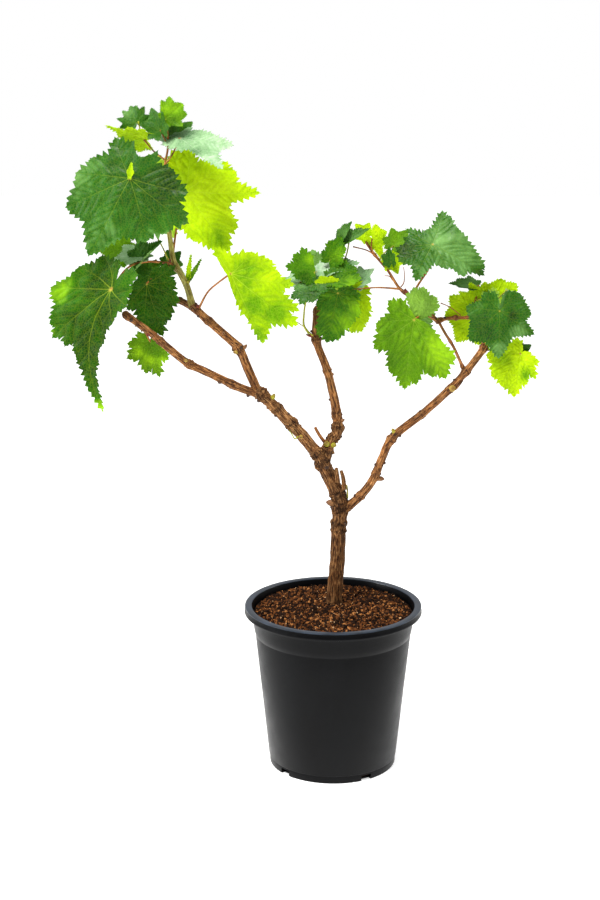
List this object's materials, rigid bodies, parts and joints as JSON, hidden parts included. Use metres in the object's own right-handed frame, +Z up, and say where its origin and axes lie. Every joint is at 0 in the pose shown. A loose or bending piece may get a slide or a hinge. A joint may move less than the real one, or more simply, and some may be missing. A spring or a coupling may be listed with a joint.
{
  "type": "potted grapevine",
  "caption": "Young woody grapevine with forked trunk, bare canes and lobed green leaves, standing in a round black nursery pot filled with growing medium.",
  "frame": {"origin": "centre of the pot's flat underside", "axes": "+Z up along the plant's height, +X to the plant's right seen from the front, -Y towards the front"},
  "size_m": [0.5578, 0.22, 0.8136],
  "materials": {
    "pot_plastic": "satin black moulded plastic",
    "growing_medium": "coarse reddish brown peat and bark crumbs",
    "bark": "fibrous warm brown bark with long cracks and swollen nodes",
    "green_shoot": "smooth green and tan young shoot",
    "leaf_dark": "satin dark green leaf with pale veins",
    "leaf_mid": "satin mid green leaf with pale veins",
    "leaf_lime": "satin lime green leaf with pale veins"
  },
  "bodies": {
    "root": {"pot": "pot_plastic", "soil": "growing_medium", "trunk": "bark", "bough_left": "bark", "cane_left_upper": "bark", "stub_left": "bark", "shoot_left": "green_shoot", "cane_left_lower": "bark", "spur_middle": "bark", "cane_middle": "bark", "cane_right": "bark", "shoot_right": "bark", "shoot_right_up": "bark", "shoot_right_out": "bark", "foliage_left_front": "leaf_dark", "foliage_left_back": "leaf_lime", "foliage_left_crown": "leaf_mid", "foliage_left_rear": "leaf_lime", "foliage_left_hanging": "leaf_mid", "foliage_left_inner": "leaf_mid", "foliage_left_under": "leaf_mid", "foliage_left_sprig": "leaf_lime", "foliage_left_low": "leaf_lime", "foliage_middle_upper": "leaf_mid", "foliage_middle_lower": "leaf_mid", "foliage_right_tip": "leaf_lime", "foliage_right_top": "leaf_dark", "foliage_right_inner": "leaf_mid", "foliage_right_outer": "leaf_dark", "foliage_right_low": "leaf_lime"}
  },
  "joints": []
}
